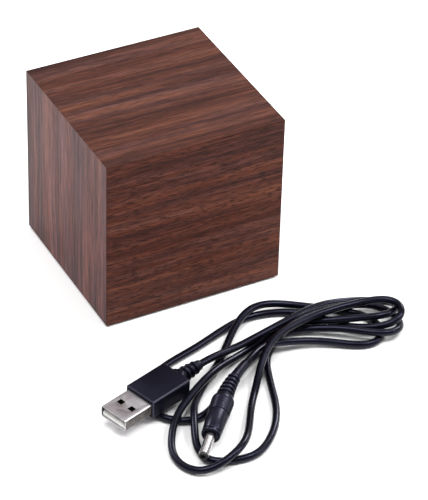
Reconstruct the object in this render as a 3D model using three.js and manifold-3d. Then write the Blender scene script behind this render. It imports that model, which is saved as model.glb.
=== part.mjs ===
// Wooden cube desk monitor for carbon dioxide, with its power lead lying loose in front of it.
//
// Millimetres, +Z up. The origin is under the middle of the cube, on the surface it stands on.
// The readout shines through the veneer of the front face, which looks along -Y, and +X is to
// the right of someone reading it. The buttons, vents, inlet and battery door are at the back.

import * as THREE from 'three';
import { mergeVertices } from 'three/addons/utils/BufferGeometryUtils.js';
import Module from 'manifold-3d';

// Casing
const WIDTH = 70;
const DEPTH = 68;
const HEIGHT = 70;
const FOOT = { radius: 3.6, height: 0.8, inset: 8 };
const PANEL = 5;
const VENEER = 0.6;
const HAIRLINE = 0.1;

// Back cover, let into the casing so that nothing stands proud of the wood
const COVER = { recess: 1.5, thickness: 2.2, corner: 1.5 };
const SCREW = { x: 27.1, low: 8.6, high: 62.2 };
const SCREW_HEAD = { radius: 1.9, height: 1.1 };
const SCREW_SHANK = { radius: 1, length: 6 };
const BLOCK = { width: 5.4, height: 5.4, length: 6.6 };
const BUTTON = { spacing: 12, first: -15, z: 59, radius: 2.9, flange: 3.7, travel: 0.5, proud: 1.3 };
const SWITCH = { side: 6, height: 3.5, plungerRadius: 1.1 };
const VENT = { count: 9, pitch: 3.1, width: 1.3, height: 4.4, firstX: -25, z: 51.9 };
const SENSOR_HOLE = { x: 8, z: 51.9, radius: 1.1 };

// What the main board carries behind the vents and in front of them
const GAS_SENSOR = { x: -14, width: 18, height: 5.8, depth: 6.6, corner: 0.8, rim: 1.1, mouth: 0.8 };
const CLIMATE_SENSOR = { side: 3, height: 1.1 };
const CHIP = { x: -9, z: 57.5, side: 10, height: 1.4 };
const BUZZER = { x: 15, z: 58, radius: 4.5, height: 5, mouth: 0.8 };
const SOLDER = 0.02;

// Inlet for a plug with a 3.5 mm sleeve
const INLET = { x: 22.5, z: 54.5, bore: 1.95, nose: 3.3, width: 9, height: 9.6, depth: 8.6, pin: 0.65 };

// Battery bay for three AAA cells, lying along X one above another
const CELL = { count: 3, pitch: 10.8 };
const SPRING = { turns: 3.2, length: 4.2, wide: 3.4, narrow: 2.2, wire: 0.4, steps: 34 };
const CONTACT_PLATE = { size: 8, thickness: 0.4, dimple: 1.6 };
const BAY = { width: 50, height: 32.6, depth: 11.6, bottom: 13.5, wall: 1.6 };
const DOOR = { gap: 0.3, thickness: 1.8, axisZ: 13, top: 46.7, tabWidth: 10, tabHeight: 1.6 };
const DOOR_PIN = { radius: 0.5, length: 1.2, clearance: 0.2 };
const DOOR_GRIP = { count: 3, pitch: 1.8, halfWidth: 8, height: 0.8, depth: 0.4, first: 3 };

// Readout
const WINDOW = { width: 52, height: 24, z: 38 };
const FASCIA = 4;
const MASK_DEPTH = 5;
const DIGIT = { width: 7.4, height: 14, stroke: 1.7, pitch: 11.4, count: 4 };

// Boards
const BOARD = 1.6;
const MAIN_BOARD = { back: 22.5, low: 49, high: 64.2, halfWidth: 23.8 };

// Power lead
const LEAD = { radius: 1.35, sides: 8, steps: 110, endGap: 0.3, straight: 3 };
const USB = { length: 42, exposed: 12.5 };
const USB_SHELL = { width: 12, height: 4.5, wall: 0.3, corner: 0.6, depth: 1.6 };
const USB_WINDOW = { x: [5.2, 7.4], y: 2.6, halfWidth: 1.15 };
const USB_TONGUE = { start: 0.5, thickness: 1.85 };
const USB_CONTACT = { x: [1.6, 9], y: 3.5, halfWidth: 0.5, thickness: 0.25 };
const USB_MOLD = { width: 13.4, height: 7.2, length: 18.5, bevel: 0.7, corner: 0.5 };
const BARREL = { length: 50, sleeveRadius: 1.75, sleeveBore: 1.3, exposed: 10.6 };
const NECK_FLEX = { start: 31, curvature: 0.017 };
const USB_PLACE = { x: -57.8, y: -87.2, z: 6.5, turn: 18.4, rise: 0 };
const BARREL_PLACE = { x: -38.2, y: -116.4, z: 4.8, turn: 49.2, rise: 2.1 };

// The lead's route, from the neck of the USB plug to the neck of the barrel plug. It lies in
// three and a half loose turns, and each hump carries it over the passes that it crosses.
const LEAD_ROUTE = [
  [1.2, -68.2, 4.3], [19, -64.5, 5], [37.5, -61, 5], [55, -61.3, 1.6],
  [63, -67, 2.2], [62.9, -72.5, 4.4], [57.3, -76.6, 5.7],
  [40.5, -72, 5.4], [23, -62.5, 1.9], [2.5, -69.5, 1.8], [-17.5, -80.2, 5.9], [-38.1, -95.1, 4],
  [-45.2, -109.9, 1.5], [-40.1, -119.8, 2], [-24.5, -117.5, 4.8],
  [-5.9, -92, 1.5], [10, -75, 7.7], [31, -68, 7.4], [54.5, -69.9, 8],
  [60, -72.9, 8.3], [61.7, -77, 7.9], [59.4, -81, 6.9], [54.6, -81.4, 5.4],
  [43.5, -74.6, 2.8], [31, -58, 1.6], [14, -52.1, 1.5], [-10.6, -59, 1.5], [-34, -68.5, 1.5],
  [-41, -85.5, 1.5], [-30, -94.5, 1.5],
  [-2.5, -77, 1.5], [20, -66, 1.6], [35.5, -72.5, 3.4], [52.6, -84.4, 4.1],
  [58.8, -82.2, 2.9], [60.8, -75, 2.1], [56.5, -67, 2.8],
  [27.5, -65.5, 6.2], [9.3, -74.3, 1.65], [4, -85, 1.6], [-2.8, -103, 1.6],
  [-11, -114, 1.5], [-21, -119.8, 1.5], [-36.2, -114, 1.6],
  [-30.5, -94.5, 4.4], [-24, -84.8, 2.2], [-9, -70.8, 1.5],
  [15.5, -51, 4.4], [37, -57, 1.6], [51.8, -70.5, 1.5],
  [52.9, -78.8, 1.5], [50.3, -82.9, 1.5], [45, -84.4, 1.5],
  [26, -75, 2.7], [8.5, -73.6, 5.5],
];

const LEFT = -WIDTH / 2;
const RIGHT = WIDTH / 2;
const FRONT = -DEPTH / 2;
const BACK = DEPTH / 2;
const FLOOR = FOOT.height;
const INNER = RIGHT - PANEL;
const INNER_LOW = FLOOR + PANEL;
const INNER_HIGH = HEIGHT - PANEL;
const COVER_BACK = BACK - COVER.recess;
const COVER_FRONT = COVER_BACK - COVER.thickness;

const wasm = await Module();
wasm.setup();

const finish = {
  veneer: new THREE.MeshStandardMaterial({ color: 0x4b2d25, roughness: 0.5, metalness: 0 }),
  fascia: new THREE.MeshStandardMaterial({ color: 0x8a6a4c, roughness: 0.8, metalness: 0 }),
  cover: new THREE.MeshStandardMaterial({ color: 0x17171a, roughness: 0.6, metalness: 0 }),
  button: new THREE.MeshStandardMaterial({ color: 0x232326, roughness: 0.4, metalness: 0 }),
  rubber: new THREE.MeshStandardMaterial({ color: 0x1a1a1a, roughness: 0.9, metalness: 0 }),
  steel: new THREE.MeshStandardMaterial({ color: 0xb9b9bd, roughness: 0.3, metalness: 1 }),
  gold: new THREE.MeshStandardMaterial({ color: 0xc9a24a, roughness: 0.3, metalness: 1 }),
  board: new THREE.MeshStandardMaterial({ color: 0x1d5a34, roughness: 0.5, metalness: 0 }),
  chip: new THREE.MeshStandardMaterial({ color: 0x111113, roughness: 0.5, metalness: 0 }),
  white: new THREE.MeshStandardMaterial({ color: 0xe8e8e4, roughness: 0.5, metalness: 0 }),
  lead: new THREE.MeshStandardMaterial({ color: 0x101014, roughness: 0.4, metalness: 0 }),
};

const part = new THREE.Group();

function addNode(parent, name, geometry, material) {
  const mesh = new THREE.Mesh(geometry, material);
  mesh.name = name;
  parent.add(mesh);
  return mesh;
}

// Booleans

function toSolid(geometry) {
  const bare = new THREE.BufferGeometry();
  bare.setAttribute('position', geometry.getAttribute('position'));
  if (geometry.index) bare.setIndex(geometry.index);
  const merged = mergeVertices(bare, 1e-4);
  const mesh = new wasm.Mesh({
    numProp: 3,
    vertProperties: new Float32Array(merged.getAttribute('position').array),
    triVerts: new Uint32Array(merged.index.array),
  });
  return new wasm.Manifold(mesh);
}

function toGeometry(solid) {
  const mesh = solid.getMesh();
  const geometry = new THREE.BufferGeometry();
  geometry.setAttribute('position', new THREE.BufferAttribute(new Float32Array(mesh.vertProperties), 3));
  geometry.setIndex(new THREE.BufferAttribute(new Uint32Array(mesh.triVerts), 1));
  geometry.computeVertexNormals();
  return geometry;
}

function join(...pieces) {
  return toGeometry(pieces.map(toSolid).reduce((whole, piece) => whole.add(piece)));
}

function cut(body, ...tools) {
  return toGeometry(tools.map(toSolid).reduce((whole, tool) => whole.subtract(tool), toSolid(body)));
}

// Simple forms

function box(x, y, z) {
  const geometry = new THREE.BoxGeometry(x[1] - x[0], y[1] - y[0], z[1] - z[0]);
  return geometry.translate((x[0] + x[1]) / 2, (y[0] + y[1]) / 2, (z[0] + z[1]) / 2);
}

// A round bar along Y, from y[0] to y[1].
function barY(x, z, radius, y, sides = 20) {
  const geometry = new THREE.CylinderGeometry(radius, radius, y[1] - y[0], sides);
  return geometry.translate(x, (y[0] + y[1]) / 2, z);
}

// A round bar along X, from x[0] to x[1].
function barX(y, z, radius, x, sides = 16) {
  const geometry = new THREE.CylinderGeometry(radius, radius, x[1] - x[0], sides);
  return geometry.rotateZ(Math.PI / 2).translate((x[0] + x[1]) / 2, y, z);
}

function inOrder(a, b) {
  return [Math.min(a, b), Math.max(a, b)];
}

function roundedRectangle(width, height, radius) {
  const shape = new THREE.Shape();
  const w = width / 2;
  const h = height / 2;
  shape.moveTo(w - radius, -h);
  shape.absarc(w - radius, -h + radius, radius, -Math.PI / 2, 0, false);
  shape.absarc(w - radius, h - radius, radius, 0, Math.PI / 2, false);
  shape.absarc(-w + radius, h - radius, radius, Math.PI / 2, Math.PI, false);
  shape.absarc(-w + radius, -h + radius, radius, Math.PI, 1.5 * Math.PI, false);
  shape.closePath();
  return shape;
}

// A plate whose outline is drawn in X and Z, from y[0] to y[1].
function plateY(shape, y, options = {}) {
  const geometry = new THREE.ExtrudeGeometry(shape, {
    depth: y[1] - y[0],
    bevelEnabled: false,
    curveSegments: 4,
    ...options,
  });
  return geometry.rotateX(Math.PI / 2).translate(0, y[1], 0);
}

// A bar whose section is drawn in Y and Z, from x[0] to x[1].
function barOfSection(shape, x, options = {}) {
  const geometry = new THREE.ExtrudeGeometry(shape, {
    depth: x[1] - x[0],
    bevelEnabled: false,
    curveSegments: 4,
    ...options,
  });
  return geometry.rotateY(Math.PI / 2).rotateX(Math.PI / 2).translate(x[0], 0, 0);
}

// A turned form about X: the profile is a list of [x, radius] that starts and ends on the axis,
// or closes on itself.
function turnedX(profile, sides = 24) {
  const points = profile.map(([x, radius]) => new THREE.Vector2(radius, x));
  return new THREE.LatheGeometry(points, sides).rotateZ(-Math.PI / 2);
}

function outline(points) {
  return new THREE.Shape(points.map(([a, b]) => new THREE.Vector2(a, b)));
}

// Casing

function casingPanels() {
  const y = [FRONT + VENEER, BACK];
  const edge = {
    left: [[LEFT, FLOOR], [-INNER, INNER_LOW], [-INNER, INNER_HIGH], [LEFT, HEIGHT]],
    right: [[RIGHT, FLOOR], [RIGHT, HEIGHT], [INNER, INNER_HIGH], [INNER, INNER_LOW]],
    top: [[LEFT, HEIGHT], [-INNER, INNER_HIGH], [INNER, INNER_HIGH], [RIGHT, HEIGHT]],
    bottom: [[LEFT, FLOOR], [RIGHT, FLOOR], [INNER, INNER_LOW], [-INNER, INNER_LOW]],
  };
  addNode(part, 'top_panel', plateY(outline(edge.top), y), finish.veneer);
  addNode(part, 'bottom_panel', plateY(outline(edge.bottom), y), finish.veneer);
  for (const [name, side] of [['left', -1], ['right', 1]]) {
    addNode(part, `${name}_panel`, sidePanel(edge[name], side, y), finish.veneer);
  }
}

// A side panel with its two glued corner blocks, drilled for the cover's screws.
function sidePanel(points, side, y) {
  const blockY = [COVER_FRONT - HAIRLINE - BLOCK.length, COVER_FRONT - HAIRLINE];
  const blockX = inOrder(side * (INNER - BLOCK.width), side * (INNER + 0.5));
  const low = box(blockX, blockY, [INNER_LOW + HAIRLINE, INNER_LOW + BLOCK.height]);
  const high = box(blockX, blockY, [INNER_HIGH - BLOCK.height, INNER_HIGH - HAIRLINE]);
  const panel = join(plateY(outline(points), y), low, high);
  const drillY = [COVER_BACK - SCREW_HEAD.height - SCREW_SHANK.length - 0.5, COVER_BACK];
  const drills = [SCREW.low, SCREW.high].map(
    (z) => barY(side * SCREW.x, z, SCREW_SHANK.radius + 0.15, drillY, 12));
  return cut(panel, ...drills);
}

function frontOfCasing() {
  addNode(part, 'front_veneer', box([LEFT, RIGHT], [FRONT, FRONT + VENEER], [FLOOR, HEIGHT]), finish.veneer);
  const width = 2 * (INNER - HAIRLINE);
  const height = INNER_HIGH - INNER_LOW - 2 * HAIRLINE;
  const back = FRONT + VENEER + FASCIA;
  const middle = (INNER_HIGH + INNER_LOW) / 2;
  const sheet = box(
    [-width / 2, width / 2],
    [FRONT + VENEER, back],
    [middle - height / 2, middle + height / 2]);
  const hole = box(
    [-WINDOW.width / 2, WINDOW.width / 2],
    [FRONT, back + 1],
    [WINDOW.z - WINDOW.height / 2, WINDOW.z + WINDOW.height / 2]);
  const posts = boardCorners().map(([x, z]) => barY(x, z, 1.6, [back - 0.5, displayBoardFront() - 0.05], 10));
  addNode(part, 'front_panel', cut(join(sheet, ...posts), hole), finish.fascia);
}

function feet() {
  for (const [end, y] of [['front', FRONT + FOOT.inset], ['back', BACK - FOOT.inset]]) {
    for (const [side, x] of [['left', LEFT + FOOT.inset], ['right', RIGHT - FOOT.inset]]) {
      const foot = new THREE.CylinderGeometry(FOOT.radius, FOOT.radius, FOOT.height, 24);
      foot.rotateX(Math.PI / 2).translate(x, y, FOOT.height / 2);
      addNode(part, `foot_${end}_${side}`, foot, finish.rubber);
    }
  }
}

// Readout behind the veneer

function displayBoardFront() {
  return FRONT + VENEER + 1.1 + MASK_DEPTH + 0.2;
}

function boardCorners() {
  return [-1, 1].flatMap((sx) => [-1, 1].map((sz) => [sx * 28, WINDOW.z + sz * 14.5]));
}

// The seven light wells of one digit, as [x, z, width, height] about the digit's middle.
function digitWells() {
  const { width, height, stroke } = DIGIT;
  const x = (width - stroke) / 2;
  const z = (height - stroke) / 2;
  const long = z - stroke - 0.5;
  const wide = width - 2 * stroke - 0.5;
  const level = [z, 0, -z].map((at) => [0, at, wide, stroke]);
  const upright = [-1, 1].flatMap((sx) => [-1, 1].map((sz) => [sx * x, sz * z / 2, stroke, long + 0.3]));
  return [...level, ...upright];
}

function readout() {
  const front = FRONT + VENEER + HAIRLINE;
  const w = WINDOW.width / 2 - 0.2;
  const h = WINDOW.height / 2 - 0.2;
  const z = [WINDOW.z - h, WINDOW.z + h];
  addNode(part, 'display_diffuser', box([-w, w], [front, front + 0.8], z), finish.white);
  const maskY = [front + 0.9, front + 0.9 + MASK_DEPTH];
  const wells = [];
  for (let i = 0; i < DIGIT.count; i += 1) {
    const middle = (i - (DIGIT.count - 1) / 2) * DIGIT.pitch;
    for (const [x, dz, width, height] of digitWells()) {
      wells.push(box(
        [middle + x - width / 2, middle + x + width / 2],
        [maskY[0] - 1, maskY[1] + 1],
        [WINDOW.z + dz - height / 2, WINDOW.z + dz + height / 2]));
    }
  }
  addNode(part, 'display_mask', cut(box([-w, w], maskY, z), ...wells), finish.chip);
  const boardY = [displayBoardFront(), displayBoardFront() + BOARD];
  const board = box([-29.4, 29.4], boardY, [WINDOW.z - 16.4, WINDOW.z + 16.4]);
  addNode(part, 'display_board', board, finish.board);
  addNode(part, 'display_ribbon', ribbon(boardY[1]), finish.white);
}

// A flat ribbon that drops from the display board and rises to the main board.
function ribbon(start) {
  const thickness = 0.4;
  const from = start + 0.1;
  const to = MAIN_BOARD.back - BOARD - 0.1;
  const high = 51;
  const low = 49.4;
  const path = [
    [from, high], [from, high + 1.4], [from + thickness, high + 1.4], [from + thickness, high],
    [from + 6, low + thickness], [to - 6, low + thickness], [to - thickness, high],
    [to - thickness, high + 1.4], [to, high + 1.4], [to, high - 0.2],
    [to - 6, low], [from + 6, low],
  ];
  return barOfSection(outline(path.reverse()), [-7, 7]);
}

// Back cover and what it carries

function buttonPlaces() {
  return ['set', 'up', 'down'].map((name, i) => [name, BUTTON.first + i * BUTTON.spacing]);
}

function screwPlaces() {
  const places = [];
  for (const [level, z] of [['low', SCREW.low], ['high', SCREW.high]]) {
    for (const [side, x] of [['left', -SCREW.x], ['right', SCREW.x]]) {
      places.push([`${level}_${side}`, x, z]);
    }
  }
  return places;
}

function backCover() {
  const width = 2 * (INNER - 2 * HAIRLINE);
  const height = INNER_HIGH - INNER_LOW - 4 * HAIRLINE;
  const middle = (INNER_HIGH + INNER_LOW) / 2;
  const y = [COVER_FRONT, COVER_BACK];
  const through = [COVER_FRONT - 1, COVER_BACK + 1];
  const sheet = plateY(roundedRectangle(width, height, COVER.corner), y).translate(0, 0, middle);
  const side = BAY.width / 2 + 2 * DOOR.gap;
  const doorLow = DOOR.axisZ - DOOR.thickness / 2;
  const doorway = box([-side, side], through, [doorLow - DOOR.gap, DOOR.top + DOOR.gap]);
  const notchSide = DOOR.tabWidth / 2 + DOOR.gap;
  const notch = box([-notchSide, notchSide], through, [DOOR.top - 1, DOOR.top + DOOR.tabHeight + DOOR.gap]);
  const pinEnd = side + DOOR_PIN.length;
  const pinHole = barX(doorAxisY(), DOOR.axisZ, DOOR_PIN.radius + DOOR_PIN.clearance, [-pinEnd, pinEnd]);
  const tools = [doorway, notch, pinHole];
  for (const [, x] of buttonPlaces()) {
    tools.push(barY(x, BUTTON.z, BUTTON.radius + 0.25, through));
  }
  for (const [, x, z] of screwPlaces()) {
    tools.push(barY(x, z, SCREW_SHANK.radius + 0.15, through, 12));
    tools.push(barY(x, z, SCREW_HEAD.radius + 0.2, [COVER_BACK - SCREW_HEAD.height - 0.1, COVER_BACK + 1]));
  }
  for (let i = 0; i < VENT.count; i += 1) {
    const x = VENT.firstX + i * VENT.pitch;
    tools.push(box([x, x + VENT.width], through, [VENT.z - VENT.height / 2, VENT.z + VENT.height / 2]));
  }
  tools.push(barY(SENSOR_HOLE.x, SENSOR_HOLE.z, SENSOR_HOLE.radius, through, 12));
  tools.push(barY(INLET.x, INLET.z, INLET.nose + 0.2, through));
  addNode(part, 'back_cover', cut(sheet, ...tools), finish.cover);
}

function coverScrews() {
  const under = COVER_BACK - SCREW_HEAD.height;
  for (const [name, x, z] of screwPlaces()) {
    const head = barY(x, z, SCREW_HEAD.radius, [under, COVER_BACK - 0.1], 16);
    const shank = barY(x, z, SCREW_SHANK.radius, [under - SCREW_SHANK.length, under + 0.2], 10);
    const slotY = [COVER_BACK - 0.7, COVER_BACK + 1];
    const level = box([x - 1.1, x + 1.1], slotY, [z - 0.2, z + 0.2]);
    const upright = box([x - 0.2, x + 0.2], slotY, [z - 1.1, z + 1.1]);
    addNode(part, `cover_screw_${name}`, cut(join(head, shank), level, upright), finish.steel);
  }
}

// Each button is a cap with a flange behind the cover, and it pushes a switch's plunger.
function buttons() {
  const flangeBack = COVER_FRONT - 0.2;
  const flangeFront = flangeBack - 0.8;
  const switchTop = MAIN_BOARD.back + SWITCH.height;
  const plungerTop = switchTop + BUTTON.travel + 0.3;
  for (const [name, x] of buttonPlaces()) {
    const crown = barY(x, BUTTON.z, BUTTON.radius, [flangeBack - 0.1, COVER_BACK + BUTTON.proud - 0.3], 24);
    const dome = new THREE.CylinderGeometry(BUTTON.radius - 0.4, BUTTON.radius, 0.3, 24);
    dome.translate(x, COVER_BACK + BUTTON.proud - 0.15, BUTTON.z);
    const flange = barY(x, BUTTON.z, BUTTON.flange, [flangeFront, flangeBack], 24);
    const stem = barY(x, BUTTON.z, 1.4, [plungerTop + 0.05, flangeFront + 0.1], 12);
    addNode(part, `button_${name}`, join(crown, dome, flange, stem), finish.button);
    const plunger = barY(x, BUTTON.z, SWITCH.plungerRadius, [switchTop - 0.4, plungerTop], 12);
    addNode(part, `plunger_${name}`, plunger, finish.white);
    const half = SWITCH.side / 2;
    const body = box(
      [x - half, x + half],
      [MAIN_BOARD.back + SOLDER, switchTop],
      [BUTTON.z - half, BUTTON.z + half]);
    const well = barY(x, BUTTON.z, SWITCH.plungerRadius + 0.2, [switchTop - 1.2, switchTop + 1], 12);
    addNode(part, `switch_${name}`, cut(body, well), finish.chip);
  }
}

// Boards, sensors and inlet

function electronics() {
  const { back, low, high, halfWidth } = MAIN_BOARD;
  const front = back - BOARD;
  addNode(part, 'main_board', box([-halfWidth, halfWidth], [front, back], [low, high]), finish.board);
  const half = CHIP.side / 2;
  const chip = box(
    [CHIP.x - half, CHIP.x + half],
    [front - CHIP.height, front - SOLDER],
    [CHIP.z - half, CHIP.z + half]);
  addNode(part, 'controller_chip', chip, finish.chip);
  const face = front - BUZZER.height;
  const buzzer = barY(BUZZER.x, BUZZER.z, BUZZER.radius, [face, front - SOLDER]);
  const mouth = barY(BUZZER.x, BUZZER.z, BUZZER.mouth, [face - 1, face + 1], 10);
  addNode(part, 'buzzer', cut(buzzer, mouth), finish.chip);
  const climateHalf = CLIMATE_SENSOR.side / 2;
  const climate = box(
    [SENSOR_HOLE.x - climateHalf, SENSOR_HOLE.x + climateHalf],
    [back + SOLDER, back + CLIMATE_SENSOR.height],
    [SENSOR_HOLE.z - climateHalf, SENSOR_HOLE.z + climateHalf]);
  addNode(part, 'temperature_humidity_sensor', climate, finish.white);
}

// The gas sensor is a plated can whose open mouth, covered by a membrane, faces the vents.
function gasSensor() {
  const { x, width, height, depth, corner, rim, mouth } = GAS_SENSOR;
  const back = MAIN_BOARD.back;
  const top = back + depth;
  const can = plateY(roundedRectangle(width, height, corner), [back + SOLDER, top]).translate(x, 0, VENT.z);
  const w = width / 2 - rim;
  const h = height / 2 - rim;
  const opening = box([x - w, x + w], [top - mouth, top + 1], [VENT.z - h, VENT.z + h]);
  addNode(part, 'co2_sensor_can', cut(can, opening), finish.steel);
  const slack = 0.15;
  const membrane = box(
    [x - w + slack, x + w - slack],
    [top - mouth + HAIRLINE, top - 0.2],
    [VENT.z - h + slack, VENT.z + h - slack]);
  addNode(part, 'co2_sensor_membrane', membrane, finish.white);
}

function inlet() {
  const { x, z, bore, nose, width, height, pin } = INLET;
  const front = MAIN_BOARD.back + SOLDER;
  const shoulder = COVER_FRONT - 0.2;
  const body = box([x - width / 2, x + width / 2], [front, shoulder], [z - height / 2, z + height / 2]);
  const ring = barY(x, z, nose, [shoulder - 0.5, COVER_BACK]);
  const hole = barY(x, z, bore, [front + 1.2, COVER_BACK + 1]);
  const slot = box([x - 1.4, x + 1.4], [front + 2, front + 6.2], [z - bore - 1.4, z]);
  addNode(part, 'dc_jack_housing', cut(join(body, ring), hole, slot), finish.chip);
  addNode(part, 'dc_jack_pin', barY(x, z, pin, [front + 1.25, COVER_BACK - 1.2], 12), finish.steel);
  const strip = box([x - 1.1, x + 1.1], [front + 2.2, front + 6], [z - bore - 1.2, z - bore - 0.8]);
  addNode(part, 'dc_jack_contact', strip, finish.steel);
}

// Battery bay

function doorAxisY() {
  return COVER_BACK - DOOR.thickness / 2;
}

function batteryTray() {
  const { width, height, depth, bottom, wall } = BAY;
  const back = COVER_FRONT - HAIRLINE;
  const outerX = width / 2 + wall;
  const outer = box([-outerX, outerX], [back - depth - wall, back], [bottom - wall, bottom + height + wall]);
  const hollow = box([-width / 2, width / 2], [back - depth, back + 1], [bottom, bottom + height]);
  const ridges = [];
  for (let i = 1; i < CELL.count; i += 1) {
    const z = cellZ(i - 0.5);
    const ridge = outline([
      [back - depth - 0.4, z - 1.6], [back - depth + 3, z - 0.3],
      [back - depth + 3, z + 0.3], [back - depth - 0.4, z + 1.6]]);
    ridges.push(barOfSection(ridge, [-18, 18]));
  }
  addNode(part, 'battery_tray', join(cut(outer, hollow), ...ridges), finish.cover);
}

function cellZ(index) {
  return BAY.bottom + BAY.height / 2 + (index - (CELL.count - 1) / 2) * CELL.pitch;
}

class ConicalHelix extends THREE.Curve {
  constructor(turns, length, wide, narrow) {
    super();
    Object.assign(this, { turns, length, wide, narrow });
  }

  getPoint(t, target = new THREE.Vector3()) {
    const angle = 2 * Math.PI * this.turns * t;
    const radius = this.wide + (this.narrow - this.wide) * t;
    return target.set(this.length * t, radius * Math.cos(angle), radius * Math.sin(angle));
  }
}

// Neighbouring cells lie opposite ways, so the springs and plates change ends row by row.
function batteryContacts() {
  const { size, thickness, dimple } = CONTACT_PLATE;
  const y = COVER_FRONT - HAIRLINE - BAY.depth + 5.4;
  const wire = new THREE.Shape().absarc(0, 0, SPRING.wire, 0, 2 * Math.PI, false);
  for (let i = 0; i < CELL.count; i += 1) {
    const end = i % 2 ? 1 : -1;
    const z = cellZ(i);
    const coil = new THREE.ExtrudeGeometry(wire, {
      steps: SPRING.steps,
      curveSegments: 3,
      extrudePath: new ConicalHelix(SPRING.turns, SPRING.length, SPRING.wide, SPRING.narrow),
    });
    if (end > 0) coil.rotateZ(Math.PI);
    coil.translate(end * (BAY.width / 2 - 0.6), y, z);
    addNode(part, `battery_spring_${i + 1}`, coil, finish.steel);
    const outer = -end * (BAY.width / 2 - HAIRLINE);
    const inner = outer + end * thickness;
    const plate = box(inOrder(outer, inner), [y - size / 2, y + size / 2], [z - size / 2, z + size / 2]);
    const bump = barX(y, z, dimple, inOrder(inner - end * 0.1, inner + end * 0.6));
    addNode(part, `battery_plate_${i + 1}`, join(plate, bump), finish.steel);
  }
}

// The door swings out and down about pins at its lower edge, which is round about them.
function batteryDoor() {
  const half = BAY.width / 2 + DOOR.gap;
  const r = DOOR.thickness / 2;
  const y = doorAxisY();
  const section = new THREE.Shape();
  section.moveTo(y + r, DOOR.axisZ);
  section.lineTo(y + r, DOOR.top);
  section.lineTo(y - r, DOOR.top);
  section.lineTo(y - r, DOOR.axisZ);
  section.absarc(y, DOOR.axisZ, r, Math.PI, 2 * Math.PI, false);
  const leaf = barOfSection(section, [-half, half], { curveSegments: 8 });
  const tabHalf = DOOR.tabWidth / 2;
  const tab = box([-tabHalf, tabHalf], [y - 0.3, y + r], [DOOR.top - 0.5, DOOR.top + DOOR.tabHeight]);
  const pins = barX(y, DOOR.axisZ, DOOR_PIN.radius, [-half - DOOR_PIN.length, half + DOOR_PIN.length]);
  const grips = [];
  for (let i = 0; i < DOOR_GRIP.count; i += 1) {
    const low = DOOR.top - DOOR_GRIP.first - DOOR_GRIP.pitch * i;
    const grip = box(
      [-DOOR_GRIP.halfWidth, DOOR_GRIP.halfWidth],
      [y + r - DOOR_GRIP.depth, y + r + 1],
      [low, low + DOOR_GRIP.height]);
    grips.push(grip);
  }
  addNode(part, 'battery_door', cut(join(leaf, tab, pins), ...grips), finish.cover);
}

// Power lead: both plugs are drawn along +X, from the tip to the neck

function plugGroup(place) {
  const group = new THREE.Group();
  group.rotation.set(0, -THREE.MathUtils.degToRad(place.rise), THREE.MathUtils.degToRad(place.turn), 'ZYX');
  group.position.set(place.x, place.y, place.z);
  part.add(group);
  return group;
}

// Turns a plug's own point into the part's frame.
function fromPlug(place, x, y) {
  const turn = THREE.MathUtils.degToRad(place.turn);
  const rise = THREE.MathUtils.degToRad(place.rise);
  return new THREE.Vector3(
    place.x + x * Math.cos(rise) * Math.cos(turn) - y * Math.sin(turn),
    place.y + x * Math.cos(rise) * Math.sin(turn) + y * Math.cos(turn),
    place.z + x * Math.sin(rise));
}

// The barrel plug's soft neck is flexed to one side: how far and at what angle, at a distance from the tip.
function neckFlex(x) {
  const past = Math.max(0, x - NECK_FLEX.start);
  return { shift: -NECK_FLEX.curvature * past * past / 2, angle: -NECK_FLEX.curvature * past };
}

function flexNeck(geometry) {
  const at = geometry.getAttribute('position');
  for (let i = 0; i < at.count; i += 1) {
    const { shift, angle } = neckFlex(at.getX(i));
    const y = at.getY(i);
    at.setXY(i, at.getX(i) - y * Math.sin(angle), shift + y * Math.cos(angle));
  }
  return geometry;
}

// Round ribs between x and x + length, narrowing from one radius to the next.
function ribProfile(x, length, count, from, to, depth) {
  const pitch = length / count;
  const points = [];
  for (let i = 0; i < count; i += 1) {
    const radius = from + (to - from) * (i / Math.max(1, count - 1));
    points.push([x + i * pitch, radius - depth], [x + (i + 0.35) * pitch, radius - depth]);
    points.push([x + (i + 0.4) * pitch, radius], [x + (i + 0.95) * pitch, radius - 0.15]);
  }
  return points;
}

function usbPlug() {
  const plug = plugGroup(USB_PLACE);
  usbShell(plug);
  usbTongue(plug);
  usbOvermold(plug);
}

function usbShell(plug) {
  const { width, height, wall, corner, depth } = USB_SHELL;
  const section = roundedRectangle(width, height, corner);
  section.holes.push(roundedRectangle(width - 2 * wall, height - 2 * wall, corner - wall));
  const tube = barOfSection(section, [0, USB.exposed + depth], { curveSegments: 3 });
  const { x, y, halfWidth } = USB_WINDOW;
  const windows = [-y, y].map((at) => box(x, [at - halfWidth, at + halfWidth], [-height, height]));
  addNode(plug, 'usb_shell', cut(tube, ...windows), finish.steel);
}

function usbTongue(plug) {
  const low = -USB_SHELL.height / 2 + USB_SHELL.wall + 0.05;
  const top = low + USB_TONGUE.thickness;
  const half = USB_SHELL.width / 2 - USB_SHELL.wall - 0.15;
  const length = [USB_TONGUE.start, USB.exposed + USB_SHELL.depth - 0.2];
  addNode(plug, 'usb_insulator', box(length, [-half, half], [low, top]), finish.white);
  const { x, y, halfWidth, thickness } = USB_CONTACT;
  for (const [name, at] of [['power', y], ['ground', -y]]) {
    const strip = box(x, [at - halfWidth, at + halfWidth], [top + 0.05, top + 0.05 + thickness]);
    addNode(plug, `usb_contact_${name}`, strip, finish.gold);
  }
}

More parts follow.
